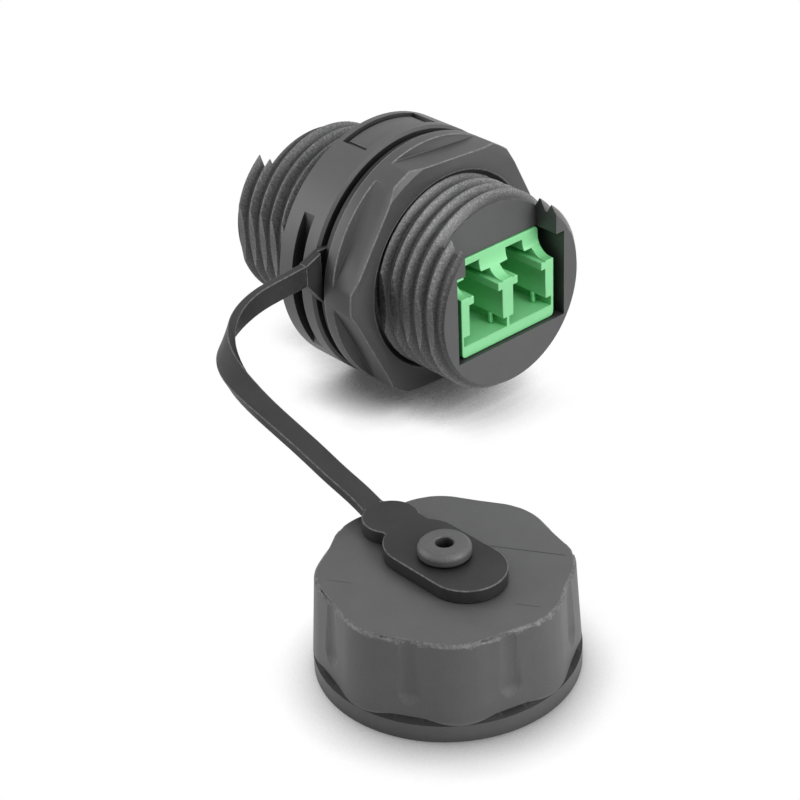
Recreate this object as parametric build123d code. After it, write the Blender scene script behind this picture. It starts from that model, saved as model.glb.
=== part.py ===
from build123d import *
import math
import os

# Panel coupler for two pairs of LC fibre plugs, with a tethered dust cap beside it.
# X runs along the barrel towards the front, Z is up, Y = 0 and Z = 0 on the barrel's axis.
# X = 0 is the flange's front face, which seats on the panel. Sizes in mm.

# Barrel
thread_d = 20.955
front_len = 15.0
rear_len = 12.3
flange_d = 28.0
flange_w = 5.8
flange_edge = 0.3
end_chamfer = 0.9
thread_flat_half = 9.9
slot_rear_x = -3.5
slot_front_x = -1.9
slot_floor_y = 11.65
label_x0 = -4.8
label_x1 = -1.25
label_half_angle = 21.0
label_depth = 0.5

# Plug pocket at each end of the barrel, and the key step that is cut down through its roof
pocket_half_w = 7.65
pocket_depth = 8.0
key_half_w = 6.5
key_depth = 3.0

# Duplex adapter
adapter_w = 13.3
adapter_h = 9.7
adapter_recess = 0.55
adapter_clear = 0.05
adapter_round = 0.5
setback = 2.25
ledge_z = 1.95
ledge_round = 1.9
collar_clear = 0.1
collar_t = 1.2
collar_wall = 0.5
port_pitch = 6.25
port_w = 4.75
port_h = 4.55
floor_t = 1.3
rail_t = 0.9
rail_out = 0.65
neck_w = 1.5
cheek_t = 1.2
ceiling_z = 2.8
latch_slot_w = 2.4
roof_t = 0.8
foot_h = 1.1
foot_rib = 0.35
foot_wall = 0.3
web_t = 1.0

# Alignment sleeves and the holders moulded in the adapter
sleeve_bore = 1.25
sleeve_d = 1.62
sleeve_len = 6.8
sleeve_slot = 0.25
sleeve_clear = 0.04
holder_wall = 0.6
holder_lip = 0.6
ferrule_hole = 1.4

# Panel nut and seal washer
nut_clear = 0.06
washer_t = 0.62
washer_w = 2.95
nut_flange_inset = 0.05
nut_flange_t = 1.7
nut_hex_t = 3.1
nut_across_flats = 25.3
nut_turn = -3.5
nut_bore_chamfer = 0.45
nut_edge = 0.35

# Tether
tether_t = 0.62
ring_clear = 0.05
ring_w = 2.27
strap_w = 2.3
strap_t = 0.9
strap_landing = 2.1
strap_rise = 0.85
ear_t = 1.14
ear_sink = 0.3
ear_low_z = -0.5
ear_high_z = 5.3
ear_gap = 0.85
ear_len = 2.05
ear_grip = 0.4
pad_t = 1.26
pad_len = 12.7
pad_w = 7.2
pad_neck_w = 4.4
shoulder_d = 5.2
shoulder_x = -7.7
shoulder_y = 0.6
pad_lift = 0.1

# Dust cap
cap_x = 40.2
cap_y = -33.4
cap_h = 9.7
cap_ring_h = 2.1
cap_rim_w = 1.44
cap_wall = 0.94
cap_thread_clear = 0.08
cap_thread_h = 5.6
cap_upper_wall = 1.6
cap_roof_t = 2.0
cap_lobe_round = 5.6
cap_flats = 8
cap_flat_draft = 3.7
cap_turn = -15.0
cap_edge = 0.5
groove_w = 2.4
groove_depth = 0.38
groove_draft = 1.2
groove_low = 4.4
groove_runout = 1.8
ledge_slope = 0.4
seal_t = 1.0
seal_clear = 0.1

# Rivet
rivet_head_d = 4.8
rivet_head_h = 1.2
rivet_edge = 0.4
rivet_hole_d = 1.65
rivet_hole_depth = 1.6
rivet_shank_d = 2.6
rivet_clear = 0.06
rivet_grip = 0.01
rivet_seat = 1.2

# How far a cutting tool runs past the face it opens
past = 1.0

# Worked out from the sizes above
x_front = front_len
x_rear = -flange_w - rear_len
x_mid = (x_front + x_rear) / 2
thread_r = thread_d / 2
flange_r = flange_d / 2
floor_z = -flange_r
pocket_z = adapter_h / 2 + adapter_clear
step_x = x_mid + collar_t
port_z0 = -adapter_h / 2 + floor_t
port_z1 = port_z0 + port_h
ferrule_z = (port_z0 + port_z1) / 2
adapter_half = x_front - adapter_recess - x_mid
roof_z = adapter_h / 2 - roof_t
holder_r = sleeve_d / 2 + sleeve_clear + holder_wall
washer_x = tether_t
nut_x = tether_t + washer_t
nut_bore_r = thread_r + nut_clear
ring_r = thread_r + ring_clear + ring_w
ear_start_y = -ring_r - ear_gap
ear_end_y = ear_start_y - ear_len
cap_bore_r = thread_r + cap_thread_clear
cap_r = cap_bore_r + cap_rim_w
cap_flat_r = cap_bore_r + cap_wall
cap_draft = (cap_h - cap_ring_h) * math.tan(math.radians(cap_flat_draft))
cap_seat_r = cap_flat_r - cap_draft - cap_upper_wall
cap_top_z = floor_z + cap_h
pad_z = cap_top_z + pad_lift
pad_mid_z = pad_z + pad_t / 2
rivet_z = pad_z + pad_t + pad_lift


def box(x0, x1, y0, y1, z0, z1):
    """Box between two corners."""
    return Pos((x0 + x1) / 2, (y0 + y1) / 2, (z0 + z1) / 2) * Box(abs(x1 - x0), abs(y1 - y0), abs(z1 - z0))


def lathe_x(points):
    """Solid turned about the X axis from (x, radius) points."""
    line = Polyline(*[(x, 0, r) for x, r in points], close=True)
    return revolve(make_face(line), Axis.X)


def section_x(points, x0, x1):
    """Prism along X from an outline of (y, z) points."""
    face = make_face(Polyline(*[(x0, y, z) for y, z in points], close=True))
    return extrude(face, amount=x1 - x0, dir=(1, 0, 0))


def rod_x(radius, x0, x1, y=0.0, z=0.0):
    """Round bar along X."""
    bar = Cylinder(radius, x1 - x0, rotation=(0, 90, 0))
    return Pos((x0 + x1) / 2, y, z) * bar


def make_barrel():
    """Barrel moulding: flange, two thread lands, plug pockets and the adapter's seat."""
    r = thread_r
    body = lathe_x([
        (x_rear, 0), (x_rear, r - end_chamfer), (x_rear + end_chamfer, r), (-flange_w, r),
        (-flange_w, flange_r - flange_edge), (-flange_w + flange_edge, flange_r), (-flange_edge, flange_r),
        (0, flange_r - flange_edge), (0, r), (x_front - end_chamfer, r), (x_front, r - end_chamfer),
        (x_front, 0)])
    for side in (-1, 1):
        # long flats on the thread lands, at the mould's parting line
        for x0, x1 in ((x_rear - past, -flange_w), (0, x_front + past)):
            body -= box(x0, x1, side * thread_flat_half, side * (r + past), -r, r)
        # flat-floored slot in the flange's rim
        body -= box(slot_rear_x, slot_front_x, side * slot_floor_y, side * (flange_r + past), -flange_r, flange_r)
    # label recess on top of the flange, left bare
    reach = flange_r + past
    spread = reach * math.tan(math.radians(label_half_angle))
    wedge = section_x([(0, 0), (-spread, reach), (spread, reach)], label_x0, label_x1)
    body -= wedge - rod_x(flange_r - label_depth, label_x0 - past, label_x1 + past)
    # pockets at both ends
    w = pocket_half_w
    body -= box(x_front - pocket_depth, x_front + past, -w, w, -pocket_z, pocket_z)
    body -= box(x_rear - past, step_x, -w, w, -pocket_z, pocket_z)
    # key steps: each end's top is cut back between two walls, so that the plug latches can be reached
    for x0, x1 in ((x_front - key_depth, x_front + past), (x_rear - past, x_rear + key_depth)):
        body -= box(x0, x1, -key_half_w, key_half_w, 0, r + past)
    # passage that the front half of the adapter fits
    half_w = adapter_w / 2 + adapter_clear
    body -= box(step_x - past, x_front, -half_w, half_w, -pocket_z, pocket_z)
    return body


def make_adapter(front):
    """One half of the duplex adapter, made for the front end and turned for the rear."""
    hw = adapter_w / 2
    hh = adapter_h / 2
    length = adapter_half
    end = length + past
    half = box(0, length, -hw, hw, -hh, hh)
    half = fillet(half.edges().filter_by(Axis.X), adapter_round)
    # the latch side is set back behind a ledge with a round corner
    cut = box(length - setback, end, -hw - past, hw + past, ledge_z, hh + past)
    corner = cut.edges().filter_by(Axis.Y).sort_by(lambda e: e.center().X + e.center().Z)[0]
    half -= fillet(corner, ledge_round)
    for side in (-1, 1):
        yc = side * port_pitch / 2
        pw = port_w / 2
        lw = latch_slot_w / 2
        # plug port below the rails, with a wider foot
        half -= box(web_t, end, yc - pw, yc + pw, port_z0, port_z1)
        half -= box(web_t, end, side * foot_rib / 2, side * (hw - foot_wall), port_z0, port_z0 + foot_h)
        # gap between the rails, the space over them and the latch slot in the ceiling
        half -= box(web_t, end, yc - pw + rail_out, yc + pw - rail_out, port_z0, ceiling_z)
        half -= box(web_t, end, side * neck_w / 2, side * (hw - cheek_t), port_z1 + rail_t, ceiling_z)
        half -= box(web_t, end, yc - lw, yc + lw, port_z1, roof_z)
        # holder of the ferrule sleeve, on the web
        seat = sleeve_len / 2 + sleeve_clear
        tip = seat + holder_lip
        half += rod_x(holder_r, 0, tip, yc, ferrule_z)
        half -= rod_x(ferrule_hole / 2, 0, tip + past, yc, ferrule_z)
        half -= rod_x(sleeve_d / 2 + sleeve_clear, -past, seat, yc, ferrule_z)
    # collar that stops against the step in the barrel
    cw = pocket_half_w - collar_clear
    inner_w = hw - collar_wall
    inner_h = hh - collar_wall
    rim = box(0, collar_t, -cw, cw, -hh, hh)
    half += rim - box(-past, collar_t + past, -inner_w, inner_w, -inner_h, inner_h)
    if front:
        return Pos(x_mid, 0, 0) * half
    return Pos(x_mid, 0, 0) * mirror(half, Plane.YZ)


def make_sleeve(side):
    """Split zirconia sleeve that lines up two ferrules."""
    y = side * port_pitch / 2
    x0 = x_mid - sleeve_len / 2
    x1 = x_mid + sleeve_len / 2
    sleeve = rod_x(sleeve_d / 2, x0, x1, y, ferrule_z)
    sleeve -= rod_x(sleeve_bore / 2, x0 - past, x1 + past, y, ferrule_z)
    half = sleeve_slot / 2
    return sleeve - box(x0 - past, x1 + past, y - half, y + half, ferrule_z, ferrule_z + sleeve_d)


def make_washer():
    """Seal washer under the nut."""
    x1 = washer_x + washer_t
    ring = rod_x(nut_bore_r + washer_w, washer_x, x1)
    return ring - rod_x(nut_bore_r, washer_x - past, x1 + past)


def make_nut():
    """Hexagon nut with a round flange behind it, as wide as the barrel's own flange."""
    x1 = nut_x + nut_flange_t
    x2 = x1 + nut_hex_t
    r = flange_r - nut_flange_inset
    flange = rod_x(r, nut_x, x1)
    flange = chamfer(flange.edges().filter_by(GeomType.CIRCLE).sort_by(Axis.X)[0], nut_edge)
    corner_r = nut_across_flats / 2 / math.cos(math.radians(30))
    corners = []
    for k in range(6):
        a = math.radians(60 * k + nut_turn)
        corners.append((corner_r * math.cos(a), corner_r * math.sin(a)))
    hexagon = section_x(corners, x1, x2)
    turned = lathe_x([(x1, 0), (x1, r), (x2 - nut_edge, r), (x2, r - 2 * nut_edge), (x2, 0)])
    nut = flange + (hexagon & turned)
    nut -= rod_x(nut_bore_r, nut_x - past, x2 + past)
    mouth = x2 - nut_bore_chamfer
    return nut - lathe_x([(mouth, 0), (mouth, nut_bore_r), (x2, nut_bore_r + nut_bore_chamfer), (x2, 0)])


def strap_points():
    """Route of the strap's centre line, from the ear to the pad."""
    x = nut_x / 2
    end_x = cap_x + shoulder_x
    end_y = cap_y + shoulder_y
    return [
        (x, ear_end_y + ear_grip, 3.3), (x, -17.3, 3.15), (x, -19.4, 3.0), (x + 0.1, -21.6, 2.8),
        (1.35, -24.25, 2.5), (3.0, -27.15, 2.3), (5.3, -29.55, 2.1), (8.4, -31.35, 1.85),
        (11.5, -32.35, 1.55), (15.1, -32.95, 1.05), (19.3, -33.15, 0.2), (22.8, -33.25, -0.6),
        (25.6, -33.2, -1.5), (end_x - 2 * strap_landing, end_y, pad_mid_z + strap_rise),
        (end_x - strap_landing, end_y, pad_mid_z + pad_lift), (end_x, end_y, pad_mid_z)]


def make_strap():
    """Flat strap that twists a quarter turn, so that its outer side ends on top of the pad."""
    points = [Vector(*q) for q in strap_points()]
    last = len(points) - 1
    twist_start = 3
    twist_end = last - 5
    sections = []
    for k, centre in enumerate(points):
        along = (points[min(k + 1, last)] - points[max(k - 1, 0)]).normalized()
        if k == 0:
            along = Vector(0, -1, 0)
        if k >= last - 1:
            along = Vector(1, 0, 0)
        inward = Vector(0, 0, 1).cross(along).normalized()
        t = min(1.0, max(0.0, (k - twist_start) / (twist_end - twist_start)))
        turn = math.radians(-90) * t * t * (3 - 2 * t)
        upward = along.cross(inward).normalized()
        flat = inward * math.cos(turn) + upward * math.sin(turn)
        side = along.cross(flat).normalized()
        sections.append(Plane(origin=centre, x_dir=side, z_dir=along) * Rectangle(strap_w, strap_t))
    return loft(sections)


def make_tether():
    """Tether moulding: ring, ear, strap and pad."""
    ring = rod_x(ring_r, 0, tether_t) - rod_x(thread_r + ring_clear, -past, tether_t + past)
    # the ear starts on the ring and thickens outside the gap between the flange and the nut
    root_r = ring_r - ear_sink
    low_y = -math.sqrt(root_r ** 2 - ear_low_z ** 2)
    high_y = -math.sqrt(root_r ** 2 - ear_high_z ** 2)
    web = section_x([(low_y, ear_low_z), (ear_start_y, ear_low_z), (ear_start_y, ear_high_z),
                     (high_y, ear_high_z)], 0, tether_t)
    x_c = nut_x / 2
    z_strap = strap_points()[0][2]
    ear = section_x([(ear_start_y, ear_low_z), (ear_end_y, z_strap - strap_w / 2),
                     (ear_end_y, z_strap + strap_w / 2), (ear_start_y, ear_high_z)],
                    x_c - ear_t / 2, x_c + ear_t / 2)
    centre = Pos(cap_x, cap_y, pad_mid_z)
    pad = centre * extrude(SlotOverall(pad_len, pad_w), amount=pad_t / 2, both=True)
    shoulder = centre * Pos(shoulder_x, shoulder_y, 0) * Cylinder(shoulder_d / 2, pad_t)
    neck_y = cap_y + shoulder_y
    neck = box(cap_x + shoulder_x, cap_x, neck_y - pad_neck_w / 2, neck_y + pad_neck_w / 2, pad_z, pad_z + pad_t)
    tether = ring + web + ear + make_strap() + shoulder + neck + pad
    return tether - centre * Cylinder(rivet_shank_d / 2 + rivet_clear, 2 * pad_t)


def cap_section(flat_r, z):
    """Octagon with its corners rounded into lobes, at height z."""
    octagon = RegularPolygon(flat_r, cap_flats, major_radius=False, rotation=cap_turn + 180 / cap_flats)
    return Pos(0, 0, z) * fillet(octagon.vertices(), cap_lobe_round)


def make_cap():
    """Dust cap, standing on its open rim: base ring, eight flats with grooves, round lobes."""
    z1 = cap_ring_h
    upper = loft([cap_section(cap_flat_r, z1), cap_section(cap_flat_r - cap_draft, cap_h)], ruled=True)
    upper = chamfer(upper.faces().sort_by(Axis.Z)[-1].edges(), cap_edge)
    ring = Pos(0, 0, (z1 - ledge_slope) / 2) * Cylinder(cap_r, z1 - ledge_slope)
    ledge = Pos(0, 0, z1 - ledge_slope / 2) * Cone(cap_r, cap_r - ledge_slope, ledge_slope)
    foot = extrude(cap_section(cap_flat_r, 0), amount=z1)
    cap = upper + ring + ledge + foot
    # grooves down the middle of the flats, deepest near the low end, where the floor rises to the flat
    groove_r = groove_w * groove_w / (8 * groove_depth) + groove_depth / 2
    drop = (groove_low - z1) * math.tan(math.radians(cap_flat_draft))
    low_r = cap_flat_r - drop + groove_r - groove_depth
    rise = groove_depth / (groove_w / 2)
    runout = Cone(groove_r - rise * groove_runout, groove_r, groove_runout)
    tool = Pos(0, 0, cap_h / 2) * Cylinder(groove_r, cap_h) + Pos(0, 0, -groove_runout / 2) * runout
    for k in range(cap_flats):
        turn = Rot(0, 0, cap_turn + 360 / cap_flats * k)
        cap -= turn * Pos(low_r, 0, groove_low) * Rot(0, -groove_draft, 0) * tool
    # threaded mouth, then a narrower seat up to the roof
    cap -= Cylinder(cap_bore_r, 2 * cap_thread_h)
    cap -= Cylinder(cap_seat_r, 2 * (cap_h - cap_roof_t))
    cap -= Pos(0, 0, cap_h) * Cylinder(rivet_shank_d / 2 + rivet_grip, 2 * rivet_seat)
    return Pos(cap_x, cap_y, floor_z) * cap


def make_cap_seal():
    """Rubber disc in the cap, against its roof."""
    z = cap_top_z - cap_roof_t - seal_t / 2
    return Pos(cap_x, cap_y, z) * Cylinder(cap_seat_r - seal_clear, seal_t)


def make_rivet():
    """Rivet with a bevelled head, a shank through the pad and a blind hole."""
    head = Pos(cap_x, cap_y, rivet_z + rivet_head_h / 2) * Cylinder(rivet_head_d / 2, rivet_head_h)
    head = chamfer(head.edges().filter_by(GeomType.CIRCLE).sort_by(Axis.Z)[-1], rivet_edge)
    low_z = cap_top_z - rivet_seat
    shank = Pos(cap_x, cap_y, (low_z + rivet_z) / 2) * Cylinder(rivet_shank_d / 2, rivet_z - low_z)
    hole = Pos(cap_x, cap_y, rivet_z + rivet_head_h) * Cylinder(rivet_hole_d / 2, 2 * rivet_hole_depth)
    return head + shank - hole


parts = {
    "barrel_body": make_barrel(),
    "adapter_front": make_adapter(True),
    "adapter_rear": make_adapter(False),
    "sleeve_left": make_sleeve(-1),
    "sleeve_right": make_sleeve(1),
    "seal_washer": make_washer(),
    "panel_nut": make_nut(),
    "tether": make_tether(),
    "dust_cap": make_cap(),
    "cap_seal": make_cap_seal(),
    "cap_rivet": make_rivet(),
}

os.makedirs("parts", exist_ok=True)
for node, solid in parts.items():
    export_step(solid, f"parts/{node}.step")
    print(node, "solids", len(solid.solids()), "volume", round(solid.volume, 2))
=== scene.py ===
import math
from contextlib import contextmanager

import bmesh
import bpy
from mathutils import Matrix, Vector


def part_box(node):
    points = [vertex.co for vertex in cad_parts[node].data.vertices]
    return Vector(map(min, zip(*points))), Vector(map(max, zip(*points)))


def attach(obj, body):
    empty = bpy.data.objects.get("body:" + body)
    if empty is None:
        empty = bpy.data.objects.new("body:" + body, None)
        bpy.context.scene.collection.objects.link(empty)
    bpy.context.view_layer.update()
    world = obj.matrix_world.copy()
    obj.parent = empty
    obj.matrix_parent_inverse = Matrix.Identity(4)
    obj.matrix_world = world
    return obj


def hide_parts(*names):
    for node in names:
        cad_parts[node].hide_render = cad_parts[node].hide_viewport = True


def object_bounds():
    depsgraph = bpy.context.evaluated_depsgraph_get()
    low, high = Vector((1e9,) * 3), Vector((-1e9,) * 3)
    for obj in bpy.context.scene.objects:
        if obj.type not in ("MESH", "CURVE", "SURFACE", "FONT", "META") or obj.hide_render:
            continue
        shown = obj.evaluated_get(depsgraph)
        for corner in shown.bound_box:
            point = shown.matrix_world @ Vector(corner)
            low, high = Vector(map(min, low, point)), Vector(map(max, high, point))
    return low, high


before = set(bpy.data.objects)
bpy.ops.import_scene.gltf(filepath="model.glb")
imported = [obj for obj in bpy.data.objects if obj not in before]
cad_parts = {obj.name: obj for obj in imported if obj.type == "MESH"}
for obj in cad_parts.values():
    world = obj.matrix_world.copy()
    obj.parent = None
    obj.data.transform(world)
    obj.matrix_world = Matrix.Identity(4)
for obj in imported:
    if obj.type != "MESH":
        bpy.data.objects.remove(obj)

# Duplex fibre coupler with nut, washer and tethered cap. Sizes are in mm and become metres through MM.
cad_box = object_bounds()
MM = 0.001
scene = bpy.context.scene


def box_mm(node):
    """A CAD node's low and high corners."""
    return [Vector(corner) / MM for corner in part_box(node)]


# Thread on both ends of the barrel: (half width, radius) of its groove, from the root out
PITCH = 1.814
GROOVE = ((0.05, 9.56), (0.14, 9.585), (0.22, 9.65), (0.3, 9.76), (0.56, 10.11), (0.66, 10.25),
          (0.74, 10.37), (0.8, 10.44), (0.86, 10.47), (0.895, 10.62))
ROOT_R = 9.75
CREST_R = 10.4
# Ridge of the nut's and the cap's own threads, which runs in that groove
RIDGE = ((0.12, 9.8), (0.2, 9.85), (0.62, 10.5), (0.66, 10.62))
# Where a crest is on each thread: X, and the angle from +Y towards +Z in degrees
FRONT_CREST = (14.47, 52.0)
REAR_CREST = (-17.25, 127.7)
HELIX_STEPS = 72

# How far the groove cutters run along X, past the ends of the thread
FRONT_GROOVE_X = (1.0, 17.5)
REAR_GROOVE_X = (-20.5, -7.0)
# The nut's thread starts and stops this far inside the nut. The cap's runs between two heights over its mouth
NUT_THREAD_INSET = (0.9, 1.5)
CAP_THREAD_H = (0.9, 4.2)

# Flange: where it lies along X, and how sharp an edge of it stays crisp. The thread lands lie outside it
FLANGE_X = (-5.9, 0.1)
FLANGE_INNER_R = 9.6
FLANGE_CRISP_DEG = 9.0
LANDS_OUTSIDE_X = (-5.85, 0.05)
LAND_INNER_R = 9.4

# Bare plate in the flange's label recess, from the flange's radius down
FLANGE_R = 14.0
PLATE_X = (-4.45, -1.6)
PLATE_R = (FLANGE_R - 0.6, FLANGE_R - 0.32)
PLATE_HALF_DEG = 18.6
PLATE_STEPS = 14

# Cap, standing on its mouth: ring round the mouth, chamfer round the top and the share of it that stays
cap_low, cap_high = box_mm("dust_cap")
seal_low, seal_high = box_mm("cap_seal")
cap_axis = ((seal_low + seal_high) / 2).xy
CAP_RING_H = 2.1
CAP_CHAMFER_H = 0.5
CAP_CHAMFER_KEPT = 0.45
# Knit lines on the cap's top: start and end from the cap's axis, half width, and how dark
CAP_LINES = (
    ((0.03, 4.63), (6.43, 8.69), 0.12, 0.25),
    ((7.96, 0.31), (10.18, 1.75), 0.09, 0.4),
    ((-6.03, -8.68), (-3.84, -7.3), 0.09, 0.45),
)
CAP_LINE_DEPTH = 0.05

# Ribs in the ports: how far behind each mouth, how high over the adapter's underside, and how far the
# rib stands out of the port's wall and is sunk in it
PORT_PITCH = 6.25
PORT_HALF_W = 2.375
RIB_BEHIND = 1.9
RIB_HALF_T = 0.2
RIB_PROUD = 0.25
RIB_SUNK = 0.2
RIB_HEIGHTS = (1.35, 2.55)
RIB_ROUND = 0.09

# Material slots of the cap
CAP_EDGE_SLOT, LEDGE_SHADE_SLOT = 1, 2
# The vector sockets of a Mix node
MIX_A, MIX_B, MIX_RESULT = 4, 5, 1
# How far the paler edges of the barrel reach, partly rubbed and partly painted highlight
WEAR_AND_HIGHLIGHT_RADIUS = 0.12

# Floor: how far its soft shadow reaches, which way the shadow leans, and its tones
SHADOW_REACH = 6.6
SHADOW_LEAN = (-0.36, 0.28, 0.89)
SHADOW_OCCLUSION = (0.26, 0.86)
SHADOW_TONE = (0.06, 1.0)
# Where the lamps point
LAMP_AIM = (20, -15, 0)

# Edges closer than this are closed, and edges sharper than this are rounded
MERGE = 0.002 * MM
SOFTEN_DEG = 30.0


class Graph:
    """A node tree, with short calls for the nodes that the materials share."""

    def __init__(self, tree):
        self.nodes = tree.nodes
        self.links = tree.links

    def feed(self, node, inputs):
        """Gives each socket its value, or the output that drives it."""
        for socket, value in inputs.items():
            if isinstance(value, bpy.types.NodeSocket):
                self.links.new(value, node.inputs[socket])
            else:
                node.inputs[socket].default_value = value
        return node

    def add(self, kind, inputs, **settings):
        node = self.nodes.new("ShaderNode" + kind)
        for key, value in settings.items():
            setattr(node, key, value)
        return self.feed(node, inputs)

    def coords(self):
        return self.add("TexCoord", {}).outputs["Object"]

    def math(self, operation, *values):
        return self.add("Math", dict(enumerate(values)), operation=operation).outputs["Value"]

    def times(self, a, b):
        return self.math("MULTIPLY", a, b)

    def dot(self, a, b):
        return self.add("VectorMath", {0: a, 1: b}, operation="DOT_PRODUCT").outputs["Value"]

    def remap(self, value, source, target):
        """value, with the range source stretched to target and clamped there."""
        return self.add("MapRange", {
            "Value": value,
            "From Min": source[0], "From Max": source[1],
            "To Min": target[0], "To Max": target[1],
        }).outputs["Result"]

    def noise(self, per_mm, detail, rough=0.55):
        return self.add("TexNoise", {
            "Vector": self.coords(), "Scale": per_mm / MM, "Detail": detail, "Roughness": rough,
        }).outputs["Fac"]

    def occlusion(self, reach, samples, inputs=None):
        """0 deep in gaps and corners, 1 on open faces."""
        return self.add("AmbientOcclusion", {"Distance": reach * MM, **(inputs or {})},
                        samples=samples).outputs["AO"]

    def edges(self, radius):
        """0 on flat faces, up to 1 on edges."""
        rounded = self.add("Bevel", {"Radius": radius * MM}, samples=6).outputs["Normal"]
        flat = self.add("NewGeometry", {}).outputs["Normal"]
        return self.remap(self.dot(rounded, flat), (0.7, 0.99), (1.0, 0.0))

    def along(self, direction, offset):
        """Distance in mm along a direction, from offset."""
        return self.math("SUBTRACT", self.dot(self.coords(), Vector(direction) / MM), offset)

    def from_axis(self):
        """Distance in mm from the barrel's axis."""
        flat = self.add("VectorMath", {0: self.coords(), 1: (0, 1 / MM, 1 / MM)}, operation="MULTIPLY")
        return self.add("VectorMath", {0: flat.outputs["Vector"]}, operation="LENGTH").outputs["Value"]

    def hairline(self, start, end, above, width, dark):
        """1, but `dark` along a fine line between two points, on faces higher than `above`."""
        start, end = Vector(start).to_3d(), Vector(end).to_3d()
        forward = (end - start).normalized()
        side = Vector((-forward.y, forward.x, 0))
        half = (end - start).length / 2
        off = self.math("ABSOLUTE", self.along(side, side.dot(start)))
        line = self.remap(off, (width * 0.3, width), (1.0, 0.0))
        from_mid = self.math("ABSOLUTE", self.along(forward, forward.dot((start + end) / 2)))
        line = self.times(line, self.remap(from_mid, (half - 0.4, half), (1.0, 0.0)))
        high = self.remap(self.along((0, 0, 1), above), (0.0, 0.05), (0.0, 1.0))
        return self.remap(self.times(line, high), (0.0, 1.0), (1.0, dark))

    def by_ray(self, seen, other):
        """`seen` for camera, glossy and transmission rays, `other` for the rest."""
        path = self.add("LightPath", {}).outputs
        straight = self.math("MAXIMUM", path["Is Camera Ray"], path["Is Glossy Ray"])
        straight = self.math("MAXIMUM", straight, path["Is Transmission Ray"])
        return self.add("MixShader", {"Fac": straight, 1: other, 2: seen}).outputs["Shader"]


def moulded(name, colour, rough=0.5, mottle=0.05, cloud=0.45, grain=7.0, bump=0.3, relief=0.02, speckle=0.0,
            wear_and_highlight=1.0, ragged=0.0, specular=0.5, lines=(), reach=1.6, gap=(0.3, 0.85), deep=0.25,
            painted_shade_colour=None, root=None):
    """Moulded plastic or rubber.

    Cloudy tone (mottle, cloud), fine grain (grain, bump, relief) with light specks (speckle), paler edges
    that are partly rubbed and partly painted highlight (wear_and_highlight) or patches (ragged), knit lines
    (lines), painted shade in gaps and corners (reach, gap, and deep or painted_shade_colour) and painted
    shade towards the root of the thread (root).
    """
    material = bpy.data.materials.new(name)
    material.use_nodes = True
    graph = Graph(material.node_tree)
    fine = graph.noise(grain, 2.0, 0.7)
    tone = graph.remap(graph.noise(cloud, 4.0), (0.3, 0.7), (1.0 - mottle, 1.0 + mottle))
    # Paler edges, partly rubbed and partly painted highlight
    if wear_and_highlight != 1.0:
        edge_patches = graph.remap(graph.noise(2.2, 3.0, 0.7), (0.5 - ragged * 0.2, 0.62), (0.0, 1.0))
        edge = graph.times(graph.edges(WEAR_AND_HIGHLIGHT_RADIUS), edge_patches)
        tone = graph.times(tone, graph.remap(edge, (0.0, 1.0), (1.0, wear_and_highlight)))
    elif ragged:
        patches = graph.noise(2.6, 3.0, 0.75)
        tone = graph.times(tone, graph.remap(patches, (0.4, 0.6), (1.0 - ragged, 1.0 + ragged * 0.5)))
    if speckle:
        tone = graph.times(tone, graph.remap(fine, (0.42, 0.72), (1.0 - speckle * 0.3, 1.0 + speckle)))
    for line in lines:
        tone = graph.times(tone, graph.hairline(*line))
    # Painted shade: darker towards the root of the thread, by distance from the barrel's axis
    if root is not None:
        tone = graph.times(tone, graph.remap(graph.from_axis(), (ROOT_R, CREST_R), (root, 1.0)))
    # Painted shade: the colour darkens, or turns to the deeper colour, in gaps and corners where occlusion is
    # high
    openness = graph.remap(graph.occlusion(reach, 6), gap, (0.0, 1.0))
    if painted_shade_colour is None:
        tone = graph.times(tone, graph.remap(openness, (0.0, 1.0), (deep, 1.0)))
    shade = graph.add("VectorMath", {0: colour, "Scale": tone}, operation="SCALE").outputs["Vector"]
    if painted_shade_colour is not None:
        shade = graph.add("Mix", {"Factor": openness, MIX_A: painted_shade_colour, MIX_B: shade},
                          data_type="VECTOR").outputs[MIX_RESULT]
    grained = graph.add("Bump", {"Strength": bump, "Distance": relief * MM, "Height": fine})
    graph.feed(graph.nodes["Principled BSDF"], {
        "Base Color": shade,
        "Roughness": graph.remap(fine, (0.3, 0.7), (rough - 0.07, rough + 0.07)),
        "Specular IOR Level": specular,
        "Normal": grained.outputs["Normal"],
    })
    return material


# Every material below is darkened in gaps and corners as painted shade (reach, gap, deep)
BLACK = (0.08, 0.08, 0.0815)
plastic = moulded("black_polyamide", BLACK, speckle=0.16, wear_and_highlight=2.1, ragged=0.5, reach=3.2, gap=(0.45, 0.88),
                  deep=0.1)
nut_plastic = moulded("black_polyamide_nut", (0.06, 0.06, 0.061), speckle=0.16, reach=3.0, gap=(0.3, 0.8),
                      deep=0.2)
smooth_plastic = moulded("black_polyamide_plain", BLACK, speckle=0.16)
# Paler chamfer round the cap's top: partly rubbed and partly painted highlight
cap_edge_wear_and_highlight = moulded("black_polyamide_cap_edge_wear_and_highlight", (0.11, 0.11, 0.112), mottle=0.1, speckle=0.5,
                           ragged=0.35)
# Paler rounded edges of the nut and the label plate: partly rubbed and partly painted highlight
plastic_edge_wear_and_highlight = moulded("black_polyamide_edge_wear_and_highlight", (0.16, 0.16, 0.162), ragged=0.3)
rivet_plastic = moulded("black_polyamide_rivet", BLACK, speckle=0.3, gap=(0.45, 0.8), deep=0.08)
cap_lines = [(cap_axis + Vector(start), cap_axis + Vector(end), cap_high.z - CAP_LINE_DEPTH, width, dark)
             for start, end, width, dark in CAP_LINES]
cap_plastic = moulded("black_polyamide_cap", BLACK, speckle=0.16, reach=2.4, gap=(0.2, 0.7), deep=0.15,
                      lines=cap_lines)
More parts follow.
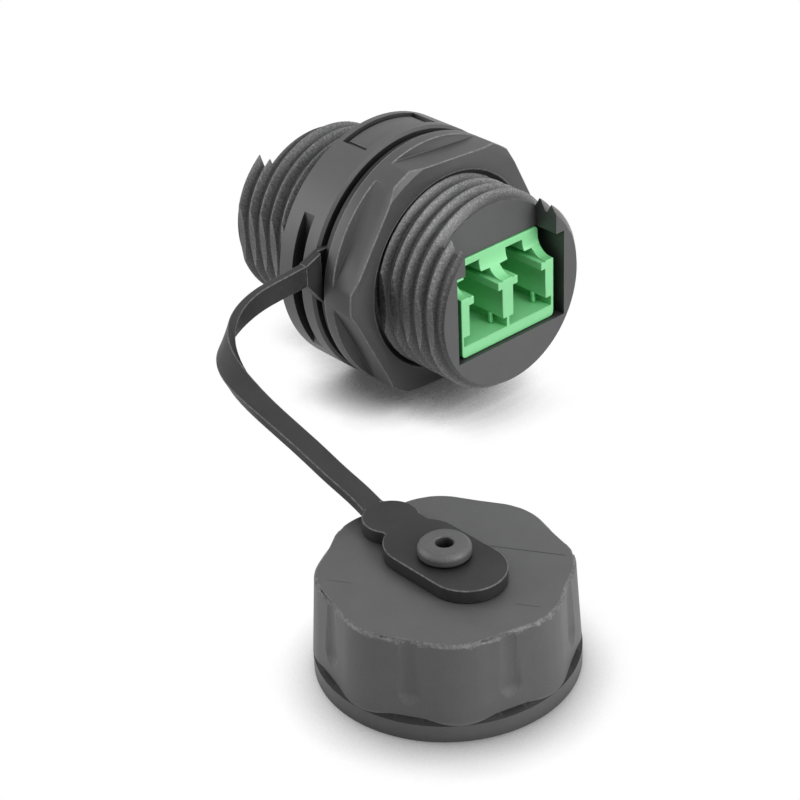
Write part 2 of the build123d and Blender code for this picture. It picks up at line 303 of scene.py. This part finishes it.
# Painted shade: the ledge on the ring round the cap's mouth is near black, far darker than the cap
ledge_painted_shade = moulded("black_polyamide_ledge_painted_shade", (0.016, 0.016, 0.0165), rough=0.6, reach=2.0,
                        gap=(0.45, 0.95), deep=0.15, specular=0.2)
# Threads and the nut's ridge: painted shade towards the thread's root (root)
thread_plastic = moulded("black_polyamide_grained", (0.155, 0.155, 0.157), rough=0.34, mottle=0.08,
                         grain=4.5, bump=1.0, relief=0.06, speckle=0.9, reach=1.0, gap=(0.2, 0.6), deep=0.3,
                         root=0.22)
rubber = moulded("black_rubber", (0.02, 0.02, 0.0212), mottle=0.35, cloud=0.16, grain=6.0, bump=0.4,
                 speckle=0.3, specular=0.3)
# Painted highlight: the tether's rounded edges are far paler than the rubber
rubber_edge_highlight = moulded("black_rubber_edge_highlight", (0.115, 0.115, 0.117), mottle=0.1, grain=6.0, bump=0.4,
                      ragged=0.4, specular=0.3)
# Painted shade: a deeper green in the ports and gaps
green = moulded("green_plastic", (0.27, 0.72, 0.34), rough=0.36, mottle=0.03, grain=5.0, bump=0.06,
                reach=5.0, gap=(0.1, 0.75), painted_shade_colour=(0.05, 0.4, 0.1))
ceramic = moulded("zirconia", (0.82, 0.8, 0.75), rough=0.25, mottle=0.02, grain=3.0, bump=0.03)


def link(obj):
    scene.collection.objects.link(obj)
    return obj


@contextmanager
def mesh_edit(mesh):
    """A bmesh of the mesh, written back at the end."""
    bm = bmesh.new()
    bm.from_mesh(mesh)
    yield bm
    bm.to_mesh(mesh)
    bm.free()


def add_mesh(name, bm):
    mesh = bpy.data.meshes.new(name)
    bm.to_mesh(mesh)
    bm.free()
    return link(bpy.data.objects.new(name, mesh))


def dress(obj, *materials):
    obj.data.materials.clear()
    for material in materials:
        obj.data.materials.append(material)


def finish_shade(obj, angle=32.0):
    """Smooth, but sharp at edges of more than `angle` degrees."""
    obj.data.shade_smooth()
    obj.data.set_sharp_from_angle(angle=math.radians(angle))


def stand_in(node, name, body, *materials):
    """A welded copy of a CAD node's mesh, with its flat faces whole, that takes the node's place."""
    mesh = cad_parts[node].data.copy()
    mesh.name = name
    with mesh_edit(mesh) as bm:
        bmesh.ops.remove_doubles(bm, verts=bm.verts, dist=0.0002 * MM)
        bmesh.ops.dissolve_limit(bm, angle_limit=math.radians(0.1), verts=bm.verts, edges=bm.edges)
        bmesh.ops.recalc_face_normals(bm, faces=bm.faces)
    obj = link(bpy.data.objects.new(name, mesh))
    dress(obj, *materials)
    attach(obj, body)
    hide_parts(node)
    return obj


def is_sharper(edge, degrees):
    return len(edge.link_faces) == 2 and edge.calc_face_angle() >= math.radians(degrees)


def soften(obj, width, edge_material, above=None, harden=True):
    """Rounds the outer edges, or only those higher than `above`, in the given edge material.

    Where that material is paler than the piece, the paler edge is painted highlight on the rubber
    and partly rubbed, partly painted highlight on the plastic.
    """
    with mesh_edit(obj.data) as bm:
        weight = bm.edges.layers.float.new("bevel_weight_edge")
        for edge in bm.edges:
            high = above is None or min(v.co.z for v in edge.verts) > above * MM
            if high and edge.is_convex and is_sharper(edge, SOFTEN_DEG):
                edge[weight] = 1.0
    obj.data.materials.append(edge_material)
    bevel = obj.modifiers.new("soft_edges", "BEVEL")
    bevel.width = width * MM
    bevel.segments = 3
    bevel.limit_method = "WEIGHT"
    bevel.use_clamp_overlap = False
    bevel.material = len(obj.data.materials) - 1
    bevel.harden_normals = harden
    weld = obj.modifiers.new("weld", "WELD")
    weld.merge_threshold = MERGE


def even_normals(obj):
    """Keeps the shading of large flat faces even."""
    obj.modifiers.new("even_normals", "WEIGHTED_NORMAL").keep_sharp = True


def drop_folds(bm):
    """Closes the slivers that would give two triangles with the same corners."""
    bm.verts.index_update()
    flat = bm.copy()
    bmesh.ops.triangulate(flat, faces=flat.faces, quad_method="FIXED", ngon_method="EAR_CLIP")
    triangles = [frozenset(v.index for v in face.verts) for face in flat.faces]
    flat.free()
    bm.verts.ensure_lookup_table()
    seen = set()
    targets = {}
    for corners in triangles:
        if corners in seen:
            a, b, c = (bm.verts[i] for i in sorted(corners))
            first, second = min(((a, b), (b, c), (a, c)), key=lambda pair: (pair[0].co - pair[1].co).length)
            targets[first] = second
        seen.add(corners)
    bmesh.ops.weld_verts(bm, targetmap=targets)


def cut(obj, tools):
    """Cuts the tools from obj for good."""
    for tool in tools:
        mod = obj.modifiers.new("cut", "BOOLEAN")
        mod.object = tool
        mod.operation = "DIFFERENCE"
        mod.solver = "EXACT"
    bpy.context.view_layer.update()
    shape = bpy.data.meshes.new_from_object(obj.evaluated_get(bpy.context.evaluated_depsgraph_get()))
    obj.modifiers.clear()
    with mesh_edit(shape) as bm:
        bmesh.ops.remove_doubles(bm, verts=bm.verts, dist=MERGE)
        bmesh.ops.dissolve_degenerate(bm, edges=bm.edges, dist=MERGE)
        drop_folds(bm)
    obj.data = shape
    for tool in tools:
        bpy.data.objects.remove(tool)


def ring_solid(name, rings):
    """Closed solid through rings of points."""
    bm = bmesh.new()
    loops = [[bm.verts.new(Vector(point) * MM) for point in ring] for ring in rings]
    count = len(loops[0])
    for a, b in zip(loops, loops[1:]):
        for j in range(count):
            k = (j + 1) % count
            bm.faces.new((a[j], a[k], b[k], b[j]))
    bm.faces.new(loops[0])
    bm.faces.new(list(reversed(loops[-1])))
    bmesh.ops.recalc_face_normals(bm, faces=bm.faces)
    return add_mesh(name, bm)


def round_x(x, radius, angle):
    return x, radius * math.cos(angle), radius * math.sin(angle)


def helix_bar(name, crest, x_range, section):
    """Helical bar half a pitch from the crest. section is (half width, radius) from the inside out."""
    crest_x, crest_deg = crest
    x_ref = crest_x + PITCH / 2
    first = math.floor((x_range[0] - x_ref) / PITCH * HELIX_STEPS)
    last = math.ceil((x_range[1] - x_ref) / PITCH * HELIX_STEPS)
    outline = [(-half, r) for half, r in section] + [(half, r) for half, r in reversed(section)]
    rings = []
    for i in range(first, last + 1):
        angle = math.radians(crest_deg) + 2 * math.pi * i / HELIX_STEPS
        x = x_ref + PITCH * i / HELIX_STEPS
        rings.append([round_x(x + off, r, angle) for off, r in outline])
    return ring_solid(name, rings)


def curved_plate(name, xs, radii, half_deg):
    """Plate between two radii round the X axis, centred on its top."""
    (x0, x1), (r0, r1) = xs, radii
    low = 90 - half_deg
    high = 90 + half_deg
    rings = []
    for i in range(PLATE_STEPS + 1):
        angle = math.radians(low + (high - low) * i / PLATE_STEPS)
        rings.append([round_x(x, r, angle) for x, r in ((x0, r0), (x1, r0), (x1, r1), (x0, r1))])
    return ring_solid(name, rings)


def blocks(name, boxes, round_off):
    """One mesh of small blocks with rounded edges. Each box is its low and high corner."""
    bm = bmesh.new()
    for low, high in boxes:
        low, high = Vector(low), Vector(high)
        place = Matrix.Translation((low + high) / 2 * MM) @ Matrix.Diagonal(((high - low) * MM).to_4d())
        bmesh.ops.create_cube(bm, size=1.0, matrix=place)
    bmesh.ops.bevel(bm, geom=list(bm.edges), offset=round_off * MM, segments=3, profile=0.5, affect="EDGES")
    return add_mesh(name, bm)


def crisp_flange(mesh):
    """Keeps the flat-angled edges of the flange's slots sharp."""
    with mesh_edit(mesh) as bm:
        for edge in bm.edges:
            on_flange = all(FLANGE_X[0] < v.co.x / MM < FLANGE_X[1] and v.co.yz.length / MM > FLANGE_INNER_R
                            for v in edge.verts)
            if on_flange and is_sharper(edge, FLANGE_CRISP_DEG):
                edge.smooth = False


def is_thread(face):
    """Whether a face of the barrel belongs to one of its two threads."""
    centre = face.center / MM
    radial = Vector((0, centre.y, centre.z))
    on_land = not LANDS_OUTSIDE_X[0] <= centre.x <= LANDS_OUTSIDE_X[1] and radial.length > LAND_INNER_R
    lean = abs(face.normal.x)
    return on_land and lean < 0.97 and (lean > 0.3 or face.normal.dot(radial.normalized()) > 0.1)


def make_barrel():
    barrel = stand_in("barrel_body", "coupler_barrel", "coupler")
    cut(barrel, (
        helix_bar("front_groove", FRONT_CREST, FRONT_GROOVE_X, GROOVE),
        helix_bar("rear_groove", REAR_CREST, REAR_GROOVE_X, GROOVE),
    ))
    finish_shade(barrel)
    crisp_flange(barrel.data)
    even_normals(barrel)
    dress(barrel, plastic, thread_plastic)
    for face in barrel.data.polygons:
        face.material_index = int(is_thread(face))


def make_nut():
    nut = stand_in("panel_nut", "hex_nut", "nut", nut_plastic)
    soften(nut, 0.12, plastic_edge_wear_and_highlight)
    finish_shade(nut)


def tighten_chamfer(mesh, top, height, kept):
    """Makes the chamfer round the top face smaller: kept is the share of its size that stays."""
    on_top = 0.01
    near = 0.12
    with mesh_edit(mesh) as bm:
        moves = {}
        for upper in bm.verts:
            if abs(upper.co.z / MM - top) > on_top:
                continue
            below = [edge.other_vert(upper) for edge in upper.link_edges]
            below = [v for v in below if abs((upper.co.z - v.co.z) / MM - height) < near]
            if below:
                lower = min(below, key=lambda v: (v.co - upper.co).length)
                corner = Vector((lower.co.x, lower.co.y, upper.co.z))
                moves[upper] = corner.lerp(upper.co, kept)
                moves[lower] = corner.lerp(lower.co, kept)
        for vert, place in moves.items():
            vert.co = place


def make_cap():
    """Cap with a chamfer round its top, paler as partly rubbed and partly painted highlight, and a ledge
    on the ring round its mouth made near black as painted shade.
    """
    cap = stand_in("dust_cap", "cap_shell", "cap", cap_plastic)
    tighten_chamfer(cap.data, cap_high.z, CAP_CHAMFER_H, CAP_CHAMFER_KEPT)
    chamfer_z = cap_high.z - CAP_CHAMFER_H
    soften(cap, 0.07, cap_edge_wear_and_highlight, above=chamfer_z, harden=False)
    cap.data.materials.append(ledge_painted_shade)
    # Faces of the ring's ledge take the near-black painted shade, and the top chamfer the paler edge
    for face in cap.data.polygons:
        z = face.center.z / MM
        if face.normal.z > 0.4 and abs(z - cap_low.z - CAP_RING_H) < 0.6:
            face.material_index = LEDGE_SHADE_SLOT
        elif 0.3 < face.normal.z < 0.95 and z > chamfer_z:
            face.material_index = CAP_EDGE_SLOT
    finish_shade(cap, 20.0)
    even_normals(cap)


def make_tether():
    band = stand_in("tether", "tether_band", "coupler", rubber)
    soften(band, 0.1, rubber_edge_highlight)
    finish_shade(band)


def make_rivet():
    button = stand_in("cap_rivet", "rivet_button", "cap", rivet_plastic)
    soften(button, 0.17, rivet_plastic, harden=False)
    finish_shade(button)


def make_insert(node, name):
    """One half of the green adapter."""
    insert = stand_in(node, name, "coupler", green)
    soften(insert, 0.1, green)
    finish_shade(insert)


def make_label_plate():
    plate = curved_plate("label_plate", PLATE_X, PLATE_R, PLATE_HALF_DEG)
    dress(plate, smooth_plastic)
    soften(plate, 0.07, plastic_edge_wear_and_highlight)
    finish_shade(plate)
    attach(plate, "coupler")


def make_nut_thread():
    low, high = box_mm("panel_nut")
    x_range = (low.x + NUT_THREAD_INSET[0], high.x - NUT_THREAD_INSET[1])
    thread = helix_bar("nut_thread", FRONT_CREST, x_range, RIDGE)
    dress(thread, thread_plastic)
    finish_shade(thread, 50.0)
    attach(thread, "nut")


def make_cap_thread():
    """Made along X like the others, then turned upright over the cap's mouth."""
    thread = helix_bar("cap_thread", (0.0, 0.0), CAP_THREAD_H, RIDGE)
    upright = Matrix.Rotation(math.radians(-90), 4, "Y")
    thread.data.transform(Matrix.Translation(Vector((*cap_axis, cap_low.z)) * MM) @ upright)
    dress(thread, smooth_plastic)
    finish_shade(thread, 50.0)
    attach(thread, "cap")


def make_port_ribs():
    """Short ribs low on one wall of each port, near both mouths."""
    rear_low, _ = box_mm("adapter_rear")
    _, front_high = box_mm("adapter_front")
    z0, z1 = (rear_low.z + height for height in RIB_HEIGHTS)
    boxes = []
    for x in (rear_low.x + RIB_BEHIND, front_high.x - RIB_BEHIND):
        for port in (-1, 1):
            wall_y = port * PORT_PITCH / 2 + PORT_HALF_W
            boxes.append(((x - RIB_HALF_T, wall_y - RIB_PROUD, z0), (x + RIB_HALF_T, wall_y + RIB_SUNK, z1)))
    ribs = blocks("port_ribs", boxes, RIB_ROUND)
    dress(ribs, green)
    finish_shade(ribs, 40.0)
    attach(ribs, "coupler")


def make_floor():
    """White floor with a painted shadow: it glows white and dims where occlusion round the object is high.
    What the object sees of it is greyer, so that its under sides stay dark.
    """
    bpy.ops.mesh.primitive_grid_add(x_subdivisions=4, y_subdivisions=4, size=6.0,
                                    location=(0, 0, cad_box[0][2]))
    floor = bpy.context.active_object
    floor.name = "floor"
    material = bpy.data.materials.new("floor_white")
    material.use_nodes = True
    graph = Graph(material.node_tree)
    graph.nodes.remove(graph.nodes["Principled BSDF"])
    lean = graph.add("CombineXYZ", dict(enumerate(SHADOW_LEAN))).outputs["Vector"]
    # Painted shadow: the floor's glow dims where occlusion round the object is high
    near = graph.occlusion(SHADOW_REACH, 8, {"Normal": lean})
    seen = graph.add("Emission", {"Strength": graph.remap(near, SHADOW_OCCLUSION, SHADOW_TONE)})
    felt = graph.add("BsdfDiffuse", {"Color": (0.25, 0.25, 0.25, 1)})
    surface = graph.by_ray(seen.outputs["Emission"], felt.outputs["BSDF"])
    graph.feed(graph.nodes["Material Output"], {"Surface": surface})
    floor.data.materials.append(material)


def make_world():
    """White to the camera, softer as a light."""
    world = bpy.data.worlds.new("studio")
    scene.world = world
    world.use_nodes = True
    graph = Graph(world.node_tree)
    white = (1, 1, 1, 1)
    seen = graph.feed(graph.nodes["Background"], {"Color": white, "Strength": 1.0})
    felt = graph.add("Background", {"Color": white, "Strength": 0.34})
    surface = graph.by_ray(seen.outputs["Background"], felt.outputs["Background"])
    graph.feed(graph.nodes["World Output"], {"Surface": surface})


def make_lamp(name, place, size, power):
    """Square area lamp that points at the middle of the object."""
    lamp = bpy.data.lights.new(name, "AREA")
    lamp.shape = "SQUARE"
    lamp.size = size * MM
    lamp.energy = power
    obj = link(bpy.data.objects.new(name, lamp))
    obj.location = Vector(place) * MM
    direction = Vector(LAMP_AIM) - Vector(place)
    obj.rotation_euler = direction.to_track_quat("-Z", "Y").to_euler()


def make_camera():
    """The photo's own view: axes, place and lens fitted to it."""
    lens = bpy.data.cameras.new("photo_camera")
    lens.sensor_fit = "HORIZONTAL"
    lens.sensor_width = 36.0
    lens.lens = 96.115
    lens.clip_start = 0.01
    lens.clip_end = 20.0
    camera = link(bpy.data.objects.new("photo_camera", lens))
    right = Vector((0.67264, 0.73903, -0.03728))
    up = Vector((-0.35832, 0.36939, 0.85741))
    back = Vector((0.64743, -0.56337, 0.51328))
    place = Matrix((right, up, back)).transposed().to_4x4()
    place.translation = Vector((152.977, -135.922, 103.952)) * MM
    camera.matrix_world = place
    scene.camera = camera


# Pieces in place of CAD nodes, and CAD nodes that are shown as they are
make_barrel()
make_nut()
make_cap()
make_tether()
make_rivet()
make_insert("adapter_front", "insert_front")
make_insert("adapter_rear", "insert_rear")
for node, material in (("seal_washer", rubber), ("cap_seal", rubber), ("sleeve_left", ceramic),
                       ("sleeve_right", ceramic)):
    dress(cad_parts[node], material)

# Pieces that no CAD node has
make_label_plate()
make_nut_thread()
make_cap_thread()
make_port_ribs()

# Studio
make_floor()
make_world()
make_lamp("key_front", (300, -250, 500), 400, 0.6)
make_lamp("side_right", (550, 120, 270), 350, 3.0)
make_lamp("side_left", (-350, -400, 220), 350, 1.4)
make_lamp("top_back", (-50, 250, 500), 350, 0.3)
make_camera()
scene.view_settings.view_transform = "Standard"
